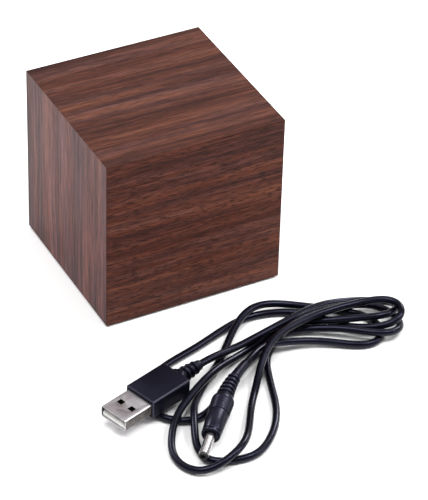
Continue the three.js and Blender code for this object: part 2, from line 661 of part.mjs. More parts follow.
function usbOvermold(plug) {
  const { width, height, length, bevel, corner } = USB_MOLD;
  const start = USB.exposed;
  const block = barOfSection(
    roundedRectangle(width - 2 * bevel, height - 2 * bevel, corner),
    [start + bevel, start + length - bevel],
    { bevelEnabled: true, bevelThickness: bevel, bevelSize: bevel, bevelSegments: 2, curveSegments: 3 });
  const neckStart = start + length;
  const neck = turnedX([
    [neckStart - 1, 0], [neckStart - 1, 3.1], [neckStart + 0.6, 3.1], [neckStart + 2, 2.8],
    ...ribProfile(neckStart + 2.2, 6.8, 3, 2.9, 2.5, 0.55),
    [neckStart + 9, 2.1], [USB.length, 1.9], [USB.length, 0]], 20);
  const halfWidth = USB_SHELL.width / 2 + 0.12;
  const halfHeight = USB_SHELL.height / 2 + 0.12;
  const socket = box(
    [start - 1, start + USB_SHELL.depth + 0.3],
    [-halfWidth, halfWidth],
    [-halfHeight, halfHeight]);
  addNode(plug, 'usb_overmold', cut(join(block, neck), socket), finish.lead);
}

function barrelPlug() {
  const plug = plugGroup(BARREL_PLACE);
  const { sleeveRadius, sleeveBore, exposed, length } = BARREL;
  const sleeveEnd = exposed + 1.4;
  const sleeve = [
    [0.8, sleeveBore], [0.8, sleeveRadius], [sleeveEnd, sleeveRadius],
    [sleeveEnd, sleeveBore], [0.8, sleeveBore]];
  addNode(plug, 'barrel_sleeve', turnedX(sleeve, 20), finish.steel);
  const liner = [
    [0, 0.85], [0, 1.5], [0.2, 1.65], [0.7, 1.65],
    [0.7, 1.2], [9.5, 1.2], [9.5, 0.85], [0, 0.85]];
  addNode(plug, 'barrel_insulator', turnedX(liner, 20), finish.chip);
  const inner = [[1.2, 0.55], [1.2, 0.8], [9.4, 0.8], [9.4, 0.55], [1.2, 0.55]];
  addNode(plug, 'barrel_contact', turnedX(inner, 14), finish.steel);
  const body = turnedX([
    [exposed, 0], [exposed, 2.9], [exposed + 0.5, 3.4], [exposed + 1.2, 3.42], [exposed + 1.4, 3.1],
    [exposed + 1.6, 3.1], [exposed + 1.8, 3.35], [exposed + 10.9, 3.8], [exposed + 11, 3.6],
    [exposed + 11.3, 3.6], [exposed + 11.4, 3.85], [exposed + 17.6, 4], [exposed + 18.6, 3.85],
    [exposed + 19.8, 3.15], [exposed + 20.4, 2.95],
    ...ribProfile(exposed + 20.6, 10.6, 5, 3, 2.3, 0.45),
    [length - 8, 1.9], [length - 4, 1.7], [length, 1.6], [length, 0]], 24);
  const socketRadius = sleeveRadius + 0.2;
  const socket = turnedX([
    [exposed - 1, 0], [exposed - 1, socketRadius],
    [sleeveEnd + 0.3, socketRadius], [sleeveEnd + 0.3, 0]], 20);
  addNode(plug, 'barrel_overmold', cut(flexNeck(body), socket), finish.lead);
}

function lead() {
  const from = USB.length + LEAD.endGap;
  const { shift, angle } = neckFlex(BARREL.length);
  const barrelEnd = (distance) => fromPlug(
    BARREL_PLACE,
    BARREL.length + distance * Math.cos(angle),
    shift + distance * Math.sin(angle));
  const points = [
    fromPlug(USB_PLACE, from, 0),
    fromPlug(USB_PLACE, from + LEAD.straight, 0),
    ...LEAD_ROUTE.map((at) => new THREE.Vector3(...at)),
    barrelEnd(LEAD.endGap + LEAD.straight),
    barrelEnd(LEAD.endGap),
  ];
  const section = new THREE.Shape();
  for (let i = 0; i < LEAD.sides; i += 1) {
    const angle = (2 * Math.PI * i) / LEAD.sides;
    const corner = [LEAD.radius * Math.cos(angle), LEAD.radius * Math.sin(angle)];
    if (i === 0) section.moveTo(...corner);
    else section.lineTo(...corner);
  }
  section.closePath();
  const tube = new THREE.ExtrudeGeometry(section, {
    steps: LEAD.steps,
    extrudePath: new THREE.CatmullRomCurve3(points, false, 'centripetal'),
  });
  addNode(part, 'lead_cable', tube, finish.lead);
}

casingPanels();
frontOfCasing();
feet();
readout();
backCover();
coverScrews();
buttons();
electronics();
gasSensor();
inlet();
batteryTray();
batteryContacts();
batteryDoor();
usbPlug();
barrelPlug();
lead();

export default part;
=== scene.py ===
# Looks of the walnut cube desk monitor and its loose USB power lead. Metres, +Z up, in the CAD frame.

import math

import bmesh
import bpy
from mathutils import Matrix, Vector


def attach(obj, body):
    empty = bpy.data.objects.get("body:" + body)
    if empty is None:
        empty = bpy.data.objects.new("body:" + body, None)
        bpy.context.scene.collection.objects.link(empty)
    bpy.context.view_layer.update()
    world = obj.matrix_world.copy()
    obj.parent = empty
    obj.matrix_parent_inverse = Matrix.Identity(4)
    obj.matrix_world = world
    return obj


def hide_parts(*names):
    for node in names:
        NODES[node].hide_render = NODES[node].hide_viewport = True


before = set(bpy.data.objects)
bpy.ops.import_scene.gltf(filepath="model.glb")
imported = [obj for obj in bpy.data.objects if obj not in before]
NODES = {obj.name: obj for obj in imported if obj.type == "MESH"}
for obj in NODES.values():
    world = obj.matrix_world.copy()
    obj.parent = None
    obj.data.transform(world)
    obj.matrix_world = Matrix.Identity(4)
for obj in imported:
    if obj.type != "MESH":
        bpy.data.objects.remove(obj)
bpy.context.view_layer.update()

MM = 0.001
CASING = "casing"

# Camera, solved from the corners of the cube that the photo shows: millimetres and degrees, clip in metres
CAMERA_TARGET = (-0.806, -50.143, 35)
CAMERA_DISTANCE = 978.971
CAMERA_AZIMUTH, CAMERA_ELEVATION, CAMERA_ROLL = -28.207, 36.911, 1.702
CAMERA_LENS, CAMERA_SENSOR = 199.94, 36
CAMERA_CLIP = (0.01, 20)

# Area lights: name, azimuth, elevation, distance, size in metres and power in watts. They point at LIT_SPOT
LIGHTS = [
    ("softbox", -60, 76, 1.3, 0.8, 11.5),
    ("key_right", 49, 60, 1.3, 0.4, 8),
    ("card", 152, 37, 1.4, 1.1, 2.4),
    ("rim_right", 62, 33, 1.3, 0.35, 4),
    ("rim_back", 114, 31, 1.3, 0.35, 7),
    ("rim_left", -155, 39, 1.3, 0.35, 6),
]
LIT_SPOT = (0, -0.04, 0.03)
WORLD_STRENGTH = 0.3
FLOOR_HALF = 4
FLOOR_WHITE = (0.97, 0.97, 0.97, 1)

# The plugs and the lead lie where the CAD has them, in millimetres and degrees
USB_PLACE = {"at": (-57.8, -87.2, 6.5), "turn": 18.4, "rise": 0}
BARREL_PLACE = {"at": (-38.2, -116.4, 4.8), "turn": 49.2, "rise": 2.1}
USB_LENGTH = 42
BARREL_LENGTH = 50
NECK_START = 31
NECK_CURVATURE = 0.017
LEAD_RADIUS = 1.35
LEAD_GAP = 0.3
LEAD_STRAIGHT = 3

# The curve through the route has so many points a span, is drawn again as points LEAD_STEP apart, and has
# its bends rounded off over LEAD_EASE of those points to each side
LEAD_DIVISIONS = 14
LEAD_STEP = 1
LEAD_EASE = 4
LEAD_ROUTE = [
    (1.2, -68.2, 4.3), (19, -64.5, 5), (37.5, -61, 5), (55, -61.3, 1.6),
    (63, -67, 2.2), (62.9, -72.5, 4.4), (57.3, -76.6, 5.7),
    (40.5, -72, 5.4), (23, -62.5, 1.9), (2.5, -69.5, 1.8), (-17.5, -80.2, 5.9), (-38.1, -95.1, 4),
    (-45.2, -109.9, 1.5), (-40.1, -119.8, 2), (-24.5, -117.5, 4.8),
    (-5.9, -92, 1.5), (10, -75, 7.7), (31, -68, 7.4), (54.5, -69.9, 8),
    (60, -72.9, 8.3), (61.7, -77, 7.9), (59.4, -81, 6.9), (54.6, -81.4, 5.4),
    (43.5, -74.6, 2.8), (31, -58, 1.6), (14, -52.1, 1.5), (-10.6, -59, 1.5), (-34, -68.5, 1.5),
    (-41, -85.5, 1.5), (-30, -94.5, 1.5),
    (-2.5, -77, 1.5), (20, -66, 1.6), (35.5, -72.5, 3.4), (52.6, -84.4, 4.1),
    (58.8, -82.2, 2.9), (60.8, -75, 2.1), (56.5, -67, 2.8),
    (27.5, -65.5, 6.2), (9.3, -74.3, 1.65), (4, -85, 1.6), (-2.8, -103, 1.6),
    (-11, -114, 1.5), (-21, -119.8, 1.5), (-36.2, -114, 1.6),
    (-30.5, -94.5, 4.4), (-24, -84.8, 2.2), (-9, -70.8, 1.5),
    (15.5, -51, 4.4), (37, -57, 1.6), (51.8, -70.5, 1.5),
    (52.9, -78.8, 1.5), (50.3, -82.9, 1.5), (45, -84.4, 1.5),
    (26, -75, 2.7), (8.5, -73.6, 5.5),
]

# Each plug's own measures run from its tip, in millimetres
USB_BODY_START = 12.5
BARREL_BODY_START = 10.6
TONGUE_TOP, TONGUE_BOTTOM, TONGUE_HALF = -0.05, -1.9, 5.55
# the tongue's top face is painted dark from here back, as painted shade under the latch windows
TONGUE_PAINTED_SHADE_FROM = 3.6
RIB_STEPS = 6
RIB_FULLNESS = 0.35
MERGE_DISTANCE = 1e-4

# Bevelled CAD nodes: the weld's distance in metres, and the angle in degrees up to which faces are one
WELD_DISTANCE = 1e-6
FLAT_ANGLE = 1

# Walnut: each layer's noise along and across the grain, per metre, its detail, roughness and shift
GRAIN_LAYERS = {
    "sway": (14, 22, 2, 0.5, 0),
    "bands": (4, 120, 2, 0.5, 1),
    "streaks": (24, 620, 3, 0.7, 2),
    "fibres": (90, 2000, 3, 0.65, 3),
    "cast": (12, 260, 2, 0.6, 5),
}
DASH_ACROSS, DASH_DETAIL, DASH_ROUGHNESS, DASH_SHIFT = 2500, 1, 0.4, 4
SEED_STEPS = (3.1, 1.7, 2.3)
SWAY_DEPTH = 0.003
BANDS_SHARE, STREAKS_SHARE = 0.55, 0.45
TONE_STOPS = (0.37, 0.49, 0.61)
FIBRE_SPREAD = (0.32, 0.68)
CAST_STOPS = (0.38, 0.62)
DASH_EDGE = (0.53, 0.62)
DASH_SHADE = 0.4
GRAIN_RELIEF = 0.00004
COOL_CAST = (0.92, 1.0, 1.14)
WARM_CAST = (1.08, 1.0, 0.84)
TOP_TONES = ((0.0285, 0.0078, 0.0065), (0.0621, 0.0196, 0.0139), (0.1062, 0.0396, 0.0277))
FRONT_TONES = ((0.0391, 0.0094, 0.0062), (0.0843, 0.0231, 0.0149), (0.1467, 0.0496, 0.0316))
SIDE_TONES = ((0.0356, 0.0079, 0.0088), (0.0971, 0.0267, 0.0248), (0.1739, 0.056, 0.047))

# The blue of the highlights on the black PVC
COOL_GLOSS = (0.64, 0.63, 1)


# Camera, lights and floor

def link(piece):
    bpy.context.scene.collection.objects.link(piece)


def aim(azimuth, elevation):
    """The direction from the object to a camera or a light, azimuth 0 being in front of it."""
    a, e = math.radians(azimuth), math.radians(elevation)
    return Vector((math.sin(a) * math.cos(e), -math.cos(a) * math.cos(e), math.sin(e)))


def make_camera():
    roll, azimuth = math.radians(CAMERA_ROLL), math.radians(CAMERA_AZIMUTH)
    back = aim(CAMERA_AZIMUTH, CAMERA_ELEVATION)
    level = Vector((math.cos(azimuth), math.sin(azimuth), 0))
    upright = back.cross(level)
    right = math.cos(roll) * level + math.sin(roll) * upright
    up = math.cos(roll) * upright - math.sin(roll) * level
    place = Matrix((right, up, back)).transposed().to_4x4()
    place.translation = Vector(CAMERA_TARGET) * MM + CAMERA_DISTANCE * MM * back
    data = bpy.data.cameras.new("camera")
    data.lens, data.sensor_width = CAMERA_LENS, CAMERA_SENSOR
    data.clip_start, data.clip_end = CAMERA_CLIP
    camera = bpy.data.objects.new("camera", data)
    camera.matrix_world = place
    link(camera)
    bpy.context.scene.camera = camera


def area_light(name, azimuth, elevation, distance, size, power):
    data = bpy.data.lights.new(name, "AREA")
    data.shape, data.size, data.energy = "DISK", size, power
    light = bpy.data.objects.new(name, data)
    direction = aim(azimuth, elevation)
    light.rotation_mode = "QUATERNION"
    light.rotation_quaternion = direction.to_track_quat("Z", "Y")
    light.location = direction * distance + Vector(LIT_SPOT)
    link(light)


def make_floor():
    corners = [(x * FLOOR_HALF, y * FLOOR_HALF, 0) for x, y in ((-1, -1), (1, -1), (1, 1), (-1, 1))]
    mesh = bpy.data.meshes.new("floor")
    mesh.from_pydata(corners, [], [(0, 1, 2, 3)])
    floor = bpy.data.objects.new("floor", mesh)
    link(floor)
    material, shader = new_material("floor_white")
    shader.inputs["Base Color"].default_value = FLOOR_WHITE
    shader.inputs["Roughness"].default_value = 0.9
    shader.inputs["Specular IOR Level"].default_value = 0.1
    mesh.materials.append(material)


def make_stage():
    make_floor()
    world = bpy.data.worlds.new("studio")
    world.use_nodes = True
    background = world.node_tree.nodes["Background"]
    background.inputs["Color"].default_value = (1, 1, 1, 1)
    background.inputs["Strength"].default_value = WORLD_STRENGTH
    bpy.context.scene.world = world
    bpy.context.scene.view_settings.view_transform = "Standard"
    for light in LIGHTS:
        area_light(*light)


# Materials

class Nodes:
    """Short names for the node calls that the materials repeat."""

    def __init__(self, tree):
        self.tree = tree

    def add(self, kind, **values):
        node = self.tree.nodes.new(kind)
        for name, value in values.items():
            setattr(node, name, value)
        return node

    def link(self, source, target):
        self.tree.links.new(source, target)

    def value(self, target, source):
        """Sets a socket to a number, or links another socket to it."""
        if isinstance(source, (int, float)):
            target.default_value = source
        else:
            self.link(source, target)

    def math(self, operation, a, b):
        node = self.add("ShaderNodeMath", operation=operation)
        self.value(node.inputs[0], a)
        self.value(node.inputs[1], b)
        return node.outputs[0]

    def weighted(self, a, share_a, b, share_b):
        return self.math("ADD", self.math("MULTIPLY", a, share_a), self.math("MULTIPLY", b, share_b))

    def coordinates(self):
        return self.add("ShaderNodeTexCoord").outputs["Object"]

    def place(self, scale, offset=(0, 0, 0), source=None):
        """Object coordinates, in metres, times a scale for each axis."""
        node = self.add("ShaderNodeMapping")
        node.inputs["Scale"].default_value = scale
        node.inputs["Location"].default_value = offset
        self.link(source or self.coordinates(), node.inputs["Vector"])
        return node.outputs["Vector"]

    def noise(self, vector, detail, roughness=0.5):
        node = self.add("ShaderNodeTexNoise")
        node.inputs["Scale"].default_value = 1.0
        node.inputs["Detail"].default_value = detail
        node.inputs["Roughness"].default_value = roughness
        self.link(vector, node.inputs["Vector"])
        return node.outputs["Fac"]

    def even_noise(self, scale, detail, roughness=0.5, source=None):
        return self.noise(self.place((scale, scale, scale), source=source), detail, roughness)

    def ramp(self, factor, stops, smooth=True):
        node = self.add("ShaderNodeValToRGB")
        node.color_ramp.interpolation = "EASE" if smooth else "LINEAR"
        elements = node.color_ramp.elements
        while len(elements) < len(stops):
            elements.new(0.5)
        for element, (position, colour) in zip(elements, stops):
            element.position = position
            element.color = (*colour, 1)
        self.link(factor, node.inputs["Fac"])
        return node.outputs["Color"]

    def remap(self, value, low, high, to_low=0.0, to_high=1.0):
        node = self.add("ShaderNodeMapRange", clamp=True)
        self.link(value, node.inputs["Value"])
        limits = {"From Min": low, "From Max": high, "To Min": to_low, "To Max": to_high}
        for name, number in limits.items():
            node.inputs[name].default_value = number
        return node.outputs["Result"]

    def mix(self, factor, a, b, blend="MIX"):
        """Mixes two colours, each a socket or three numbers."""
        node = self.add("ShaderNodeMix", data_type="RGBA", blend_type=blend)
        self.value(node.inputs[0], factor)
        for socket, source in ((node.inputs[6], a), (node.inputs[7], b)):
            if isinstance(source, tuple):
                socket.default_value = (*source, 1)
            else:
                self.link(source, socket)
        return node.outputs[2]

    def grey(self, value):
        node = self.add("ShaderNodeCombineColor")
        for socket in node.inputs[:3]:
            self.link(value, socket)
        return node.outputs["Color"]

    def bump(self, height, distance, strength):
        node = self.add("ShaderNodeBump")
        node.inputs["Distance"].default_value = distance
        node.inputs["Strength"].default_value = strength
        self.link(height, node.inputs["Height"])
        return node.outputs["Normal"]


def new_material(name):
    material = bpy.data.materials.new(name)
    material.use_nodes = True
    return material, material.node_tree.nodes["Principled BSDF"]


def scaled(colour, share):
    return tuple(min(1, share * channel) for channel in colour)


def grain_layer(n, grain, seed, source, along, across, detail, roughness, shift):
    """Noise that is drawn out along the grain."""
    scale = [across] * 3
    scale["XYZ".index(grain)] = along
    offset = [seed * step + shift for step in SEED_STEPS]
    return n.noise(n.place(scale, offset, source), detail, roughness)


def swayed(n, grain, seed):
    """Object coordinates, pushed about so that the grain isn't quite straight."""
    coordinates = n.coordinates()
    sway = grain_layer(n, grain, seed, coordinates, *GRAIN_LAYERS["sway"])
    push = n.add("ShaderNodeVectorMath", operation="ADD")
    n.link(coordinates, push.inputs[0])
    n.link(n.math("MULTIPLY", n.math("SUBTRACT", sway, 0.5), SWAY_DEPTH), push.inputs[1])
    return push.outputs["Vector"]


def walnut(name, grain, seed, tones, fleck, dash, specular, fibre):
    """Dark walnut foil with its grain along one axis: bands, streaks, fibres and short dark dashes.

    tones are its dark, middle and light colour. fleck and fibre are how strong its dashes and fibres are,
    and dash is the frequency of its dashes along the grain, per metre.
    """
    material, shader = new_material(name)
    n = Nodes(material.node_tree)
    source = swayed(n, grain, seed)
    bands, streaks, fibres, cast = (grain_layer(n, grain, seed, source, *GRAIN_LAYERS[kind])
                                    for kind in ("bands", "streaks", "fibres", "cast"))
    dashes = grain_layer(n, grain, seed, source, dash, DASH_ACROSS, DASH_DETAIL, DASH_ROUGHNESS, DASH_SHIFT)
    tone = n.weighted(bands, BANDS_SHARE, streaks, STREAKS_SHARE)
    colour = n.ramp(tone, list(zip(TONE_STOPS, tones)), smooth=False)
    shade = n.remap(fibres, *FIBRE_SPREAD, 1 - fibre, 1 + fibre)
    colour = n.mix(1.0, colour, n.grey(shade), "MULTIPLY")
    colour = n.mix(1.0, colour, n.ramp(cast, list(zip(CAST_STOPS, (COOL_CAST, WARM_CAST)))), "MULTIPLY")
    stroke = n.remap(dashes, *DASH_EDGE)
    colour = n.mix(n.math("MULTIPLY", stroke, fleck), colour, scaled(tones[0], DASH_SHADE))
    n.link(colour, shader.inputs["Base Color"])
    n.link(n.remap(streaks, 0.3, 0.7, 0.52, 0.42), shader.inputs["Roughness"])
    shader.inputs["Specular IOR Level"].default_value = specular
    height = n.math("SUBTRACT", n.math("MULTIPLY", fibres, 0.5), stroke)
    n.link(n.bump(height, GRAIN_RELIEF, 0.6), shader.inputs["Normal"])
    return material


def plain_wood(name, colour, roughness, specular=0.5):
    """Raw or bruised wood, as on an edge, and the lighter edge wood that is partly a painted highlight: one
    tone with a fine random speckle.
    """
    material, shader = new_material(name)
    n = Nodes(material.node_tree)
    speckle = n.even_noise(900, 4, 0.7)
    patches = n.even_noise(60, 2)
    tone = n.weighted(speckle, 0.6, patches, 0.4)
    stops = [(0.35, scaled(colour, 0.7)), (0.65, scaled(colour, 1.25))]
    n.link(n.ramp(tone, stops), shader.inputs["Base Color"])
    shader.inputs["Roughness"].default_value = roughness
    shader.inputs["Specular IOR Level"].default_value = specular
    n.link(n.bump(speckle, 0.00003, 0.5), shader.inputs["Normal"])
    return material


def moulded(name, colour, roughness, grit=2600, depth=0.00002, specular=0.5, tint=(1, 1, 1)):
    """Moulded plastic or rubber: a fine eroded texture and slight uneven gloss."""
    material, shader = new_material(name)
    n = Nodes(material.node_tree)
    fine = n.even_noise(grit, 3, 0.6)
    cloud = n.even_noise(70, 3, 0.6)
    stops = [(0.3, scaled(colour, 0.8)), (0.7, scaled(colour, 1.2))]
    n.link(n.ramp(cloud, stops), shader.inputs["Base Color"])
    n.link(n.remap(cloud, 0.3, 0.7, roughness - 0.05, roughness + 0.06), shader.inputs["Roughness"])
    shader.inputs["Specular IOR Level"].default_value = specular
    shader.inputs["Specular Tint"].default_value = (*tint, 1)
    n.link(n.bump(fine, depth, 0.7), shader.inputs["Normal"])
    return material


def black_pvc(name, colour, roughness, depth, specular, grit=3200):
    """Black PVC, whose highlights are bluish."""
    return moulded(name, colour, roughness, grit, depth, specular, COOL_GLOSS)


def plated(name, colour, roughness, scale=(120, 2400, 2400), turn=0.0, wear=0.18):
    """Plated sheet metal with rolling lines along the piece and faint handling marks."""
    material, shader = new_material(name)
    n = Nodes(material.node_tree)
    rotate = n.add("ShaderNodeVectorRotate", rotation_type="Z_AXIS")
    n.link(n.coordinates(), rotate.inputs["Vector"])
    rotate.inputs["Angle"].default_value = -math.radians(turn)
    turned_to_piece = rotate.outputs["Vector"]
    lines = n.noise(n.place(scale, source=turned_to_piece), 3, 0.6)
    marks = n.even_noise(300, 4, 0.65, turned_to_piece)
    stops = [(0.3, scaled(colour, 1 - wear)), (0.65, colour)]
    n.link(n.ramp(marks, stops), shader.inputs["Base Color"])
    shader.inputs["Metallic"].default_value = 1.0
    gloss = n.weighted(lines, 0.14, marks, 0.12)
    n.link(n.math("ADD", gloss, roughness - 0.13), shader.inputs["Roughness"])
    n.link(n.bump(lines, 0.000004, 0.5), shader.inputs["Normal"])
    return material


def circuit_board(name):
    """Green solder mask over raised tracks."""
    material, shader = new_material(name)
    n = Nodes(material.node_tree)
    cell = n.add("ShaderNodeTexVoronoi", feature="DISTANCE_TO_EDGE", distance="MANHATTAN")
    cell.inputs["Scale"].default_value = 1.0
    n.link(n.place((450, 450, 450)), cell.inputs["Vector"])
    track = n.remap(cell.outputs["Distance"], 0.05, 0.09)
    n.link(n.mix(track, (0.03, 0.2, 0.09), (0.012, 0.1, 0.045)), shader.inputs["Base Color"])
    shader.inputs["Roughness"].default_value = 0.35
    n.link(n.bump(track, 0.00002, 0.5), shader.inputs["Normal"])
    return material


# Mesh code, all in millimetres until a mesh is placed

def make_mesh(name, shape):
    """A mesh of (vertices, faces), with its doubled points merged and its faces turned outwards."""
    vertices, faces = shape
    mesh = bpy.data.meshes.new(name)
    mesh.from_pydata([tuple(vertex) for vertex in vertices], [], faces)
    work = bmesh.new()
    work.from_mesh(mesh)
    bmesh.ops.remove_doubles(work, verts=work.verts, dist=MERGE_DISTANCE)
    bmesh.ops.recalc_face_normals(work, faces=work.faces)
    work.to_mesh(mesh)
    work.free()
    return mesh


def new_piece(name, shape, material, replaces, place=None, sharp=30):
    """A smooth-shaded piece in the place of a CAD node; edges sharper than the angle stay sharp."""
    mesh = make_mesh(name, shape)
    mesh.transform((place or Matrix.Identity(4)) @ Matrix.Scale(MM, 4))
    mesh.materials.append(material)
    mesh.polygons.foreach_set("use_smooth", [True] * len(mesh.polygons))
    mesh.set_sharp_from_angle(angle=math.radians(sharp))
    piece = bpy.data.objects.new(name, mesh)
    link(piece)
    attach(piece, CASING)
    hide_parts(replaces)
    return piece


def round_ring(radius, sides):
    """A circle about X, as (y, z)."""
    return [(radius * math.cos(2 * math.pi * i / sides), radius * math.sin(2 * math.pi * i / sides))
            for i in range(sides)]


def box_ring(width, height, radius, sides):
    """A rounded rectangle about X, as (y, z)."""
    per_corner = sides // 4
    points = []
    for corner in range(4):
        middle = math.pi / 4 + corner * math.pi / 2
        y = (width / 2 - radius) * (1 if math.cos(middle) > 0 else -1)
        z = (height / 2 - radius) * (1 if math.sin(middle) > 0 else -1)
        for i in range(per_corner):
            angle = middle - math.pi / 4 + (math.pi / 2) * i / (per_corner - 1)
            points.append((y + radius * math.cos(angle), z + radius * math.sin(angle)))
    return points


def round_box_ring(radius, sides):
    """A circle with its points where a rounded rectangle has them, so that the two can be lofted."""
    return box_ring(2 * radius, 2 * radius, radius - 0.01, sides)


def loft(rings, closed=False):
    """Skins rings of points, each given as (x, [(y, z), ...]), and caps both ends unless it is closed."""
    count = len(rings[0][1])
    vertices = [(x, y, z) for x, ring in rings for y, z in ring]
    faces = []
    last = len(rings) if closed else len(rings) - 1
    for i in range(last):
        a, b = i * count, ((i + 1) % len(rings)) * count
        for j in range(count):
            k = (j + 1) % count
            faces.append((a + j, a + k, b + k, b + j))
    if not closed:
        faces.append(tuple(range(count - 1, -1, -1)))
        faces.append(tuple(range((len(rings) - 1) * count, len(rings) * count)))
    return vertices, faces


def turned(profile, sides, closed=False):
    """Turns a profile of (x, radius) about X."""
    return loft([(x, round_ring(max(radius, 0.01), sides)) for x, radius in profile], closed)


def block(low, high, radius=0.0):
    """A box between two corners, whose long edges along X may be rounded."""
    width, height = high[1] - low[1], high[2] - low[2]
    y, z = (high[1] + low[1]) / 2, (high[2] + low[2]) / 2
    ring = [(y + a, z + b) for a, b in box_ring(width, height, max(radius, 0.01), 16)]
    return loft([(low[0], ring), (high[0], ring)])


def apply_modifiers(piece):
    bpy.context.view_layer.update()
    evaluated = piece.evaluated_get(bpy.context.evaluated_depsgraph_get())
    mesh = bpy.data.meshes.new_from_object(evaluated)
    piece.modifiers.clear()
    piece.data = mesh


def cut_piece(piece, cutters):
    """Cuts each (vertices, faces) out of a piece whose mesh is in millimetres."""
    for index, shape in enumerate(cutters):
        cutter = bpy.data.objects.new("cutter", make_mesh("cutter", shape))
        link(cutter)
        modifier = piece.modifiers.new(f"cut_{index}", "BOOLEAN")
        modifier.object, modifier.operation, modifier.solver = cutter, "DIFFERENCE", "EXACT"
        apply_modifiers(piece)
        bpy.data.objects.remove(cutter)


def plug_matrix(place):
    turn = Matrix.Rotation(math.radians(place["turn"]), 4, "Z")
    rise = Matrix.Rotation(-math.radians(place["rise"]), 4, "Y")
    return Matrix.Translation(Vector(place["at"]) * MM) @ turn @ rise


def neck_flex(x):
    """How far, and at what angle, the barrel plug's soft neck is flexed at a distance from the tip."""
    past = max(0.0, x - NECK_START)
    return -NECK_CURVATURE * past * past / 2, -NECK_CURVATURE * past


def from_plug(place, x, y=0.0):
    """A point of a plug's own, given in millimetres, in metres in the frame."""
    return plug_matrix(place) @ Vector((x * MM, y * MM, 0))


def barrel_end(distance):
    """A point on the lead's axis, at a distance from the end of the barrel plug's neck."""
    shift, angle = neck_flex(BARREL_LENGTH)
    x = BARREL_LENGTH + distance * math.cos(angle)
    return from_plug(BARREL_PLACE, x, shift + distance * math.sin(angle))


# Lead

def catmull_rom(points, steps):
    """A centripetal Catmull-Rom curve through the points, as the CAD's tube follows."""
    ghosts = [2 * points[0] - points[1], *points, 2 * points[-1] - points[-2]]
    curve = []
    for p0, p1, p2, p3 in zip(ghosts, ghosts[1:], ghosts[2:], ghosts[3:]):
        d0, d1, d2 = (math.sqrt((b - a).length) for a, b in ((p0, p1), (p1, p2), (p2, p3)))
        t1 = ((p1 - p0) / d0 - (p2 - p0) / (d0 + d1) + (p2 - p1) / d1) * d1
        t2 = ((p2 - p1) / d1 - (p3 - p1) / (d1 + d2) + (p3 - p2) / d2) * d1
        for i in range(steps):
            s = i / steps
            curve.append(p1 * (2 * s ** 3 - 3 * s ** 2 + 1) + p2 * (3 * s ** 2 - 2 * s ** 3)
                         + t1 * (s ** 3 - 2 * s ** 2 + s) + t2 * (s ** 3 - s ** 2))
    return [*curve, points[-1]]


def even_steps(line, step):
    """The same line, as points a step apart."""
    total = sum((b - a).length for a, b in zip(line, line[1:]))
    count = round(total / step)
    points, walked, wanted = [line[0]], 0.0, total / count
    for a, b in zip(line, line[1:]):
        span = (b - a).length
        while len(points) < count and walked + span >= wanted:
            points.append(a.lerp(b, (wanted - walked) / span))
            wanted += total / count
        walked += span
    return [*points, line[-1]]


def eased(line, reach):
    """Moves each point, twice, to the mean of the stretch that reaches to both sides of it."""
    for _ in range(2):
        before = [2 * line[0] - point for point in line[reach:0:-1]]
        after = [2 * line[-1] - point for point in line[-2:-reach - 2:-1]]
        padded = [*before, *line, *after]
        width = 2 * reach + 1
        line = [sum(padded[i:i + width], Vector((0, 0, 0))) / width for i in range(len(line))]
    return line


def rounded_off(line, reach):
    """Takes the corners off the bends, and gives back what that pulls the bends in by."""
    once = eased(line, reach)
    return [2 * a - b for a, b in zip(once, eased(once, reach))]


def lead_line():
    """The lead's centreline, in metres, straight for a few millimetres where it leaves each plug."""
    usb_end = USB_LENGTH + LEAD_GAP
    points = [
        from_plug(USB_PLACE, usb_end),
        from_plug(USB_PLACE, usb_end + LEAD_STRAIGHT),
        *(Vector(point) * MM for point in LEAD_ROUTE),
        barrel_end(LEAD_GAP + LEAD_STRAIGHT),
        barrel_end(LEAD_GAP),
    ]
    return rounded_off(even_steps(catmull_rom(points, LEAD_DIVISIONS), LEAD_STEP * MM), LEAD_EASE)


def make_lead(material):
    line = lead_line()
    curve = bpy.data.curves.new("lead", "CURVE")
    curve.dimensions = "3D"
    spline = curve.splines.new("POLY")
    spline.points.add(len(line) - 1)
    for target, point in zip(spline.points, line):
        target.co = (*point, 1)
    curve.bevel_depth = LEAD_RADIUS * MM
    curve.bevel_resolution = 6
    curve.use_fill_caps = True
    spline.use_smooth = True
    curve.materials.append(material)
    lead = bpy.data.objects.new("lead", curve)
    link(lead)
    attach(lead, CASING)
    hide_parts("lead_cable")


# USB plug

def usb_shell_shape():
    """The sheet metal shell: a rounded tube with a lip at its front."""
    width, height, corner, wall, lip, end = 12, 4.5, 0.8, 0.3, 0.07, 14.1

    def ring(inset):
        return box_ring(width - 2 * inset, height - 2 * inset, corner - inset, 32)

    return loft([(lip, ring(0)), (end, ring(0)), (end, ring(wall)), (lip, ring(wall)),
                 (0, ring(wall - lip)), (0, ring(lip))], closed=True)


def usb_shell_cutters():
    """Four latch windows, in pairs above and below, and the folded sheet's seam underneath."""
    front, back, half, across, up, deep = 5.2, 7.4, 1.15, 2.6, 2.2, 1
    windows = [block((front, y - half, z - deep), (back, y + half, z + deep))
               for y in (-across, across) for z in (-up, up)]
    return [*windows, block((-1, -0.06, -2.5), (9, 0.06, -2.1))]


def usb_shell(material, painted_shade_side):
    """The shell, cut and bevelled in millimetres and then placed, with painted shade on its two sides: a
    darker copy of the same metal.
    """
    shell = new_piece("usb_plug_shell", usb_shell_shape(), material, "usb_shell", sharp=40)
    shell.data.transform(Matrix.Scale(1 / MM, 4))
    cut_piece(shell, usb_shell_cutters())
    bevel = shell.modifiers.new("edge", "BEVEL")
    bevel.width, bevel.segments = 0.05, 2
    bevel.limit_method, bevel.angle_limit = "ANGLE", math.radians(50)
    apply_modifiers(shell)
    shell.data.materials.append(painted_shade_side)
    # painted shade: the faces looking to either side take the darker copy of the metal
    for face in shell.data.polygons:
        if abs(face.normal.y) > 0.9:
            face.material_index = 1
    shell.data.transform(plug_matrix(USB_PLACE) @ Matrix.Scale(MM, 4))
    return shell


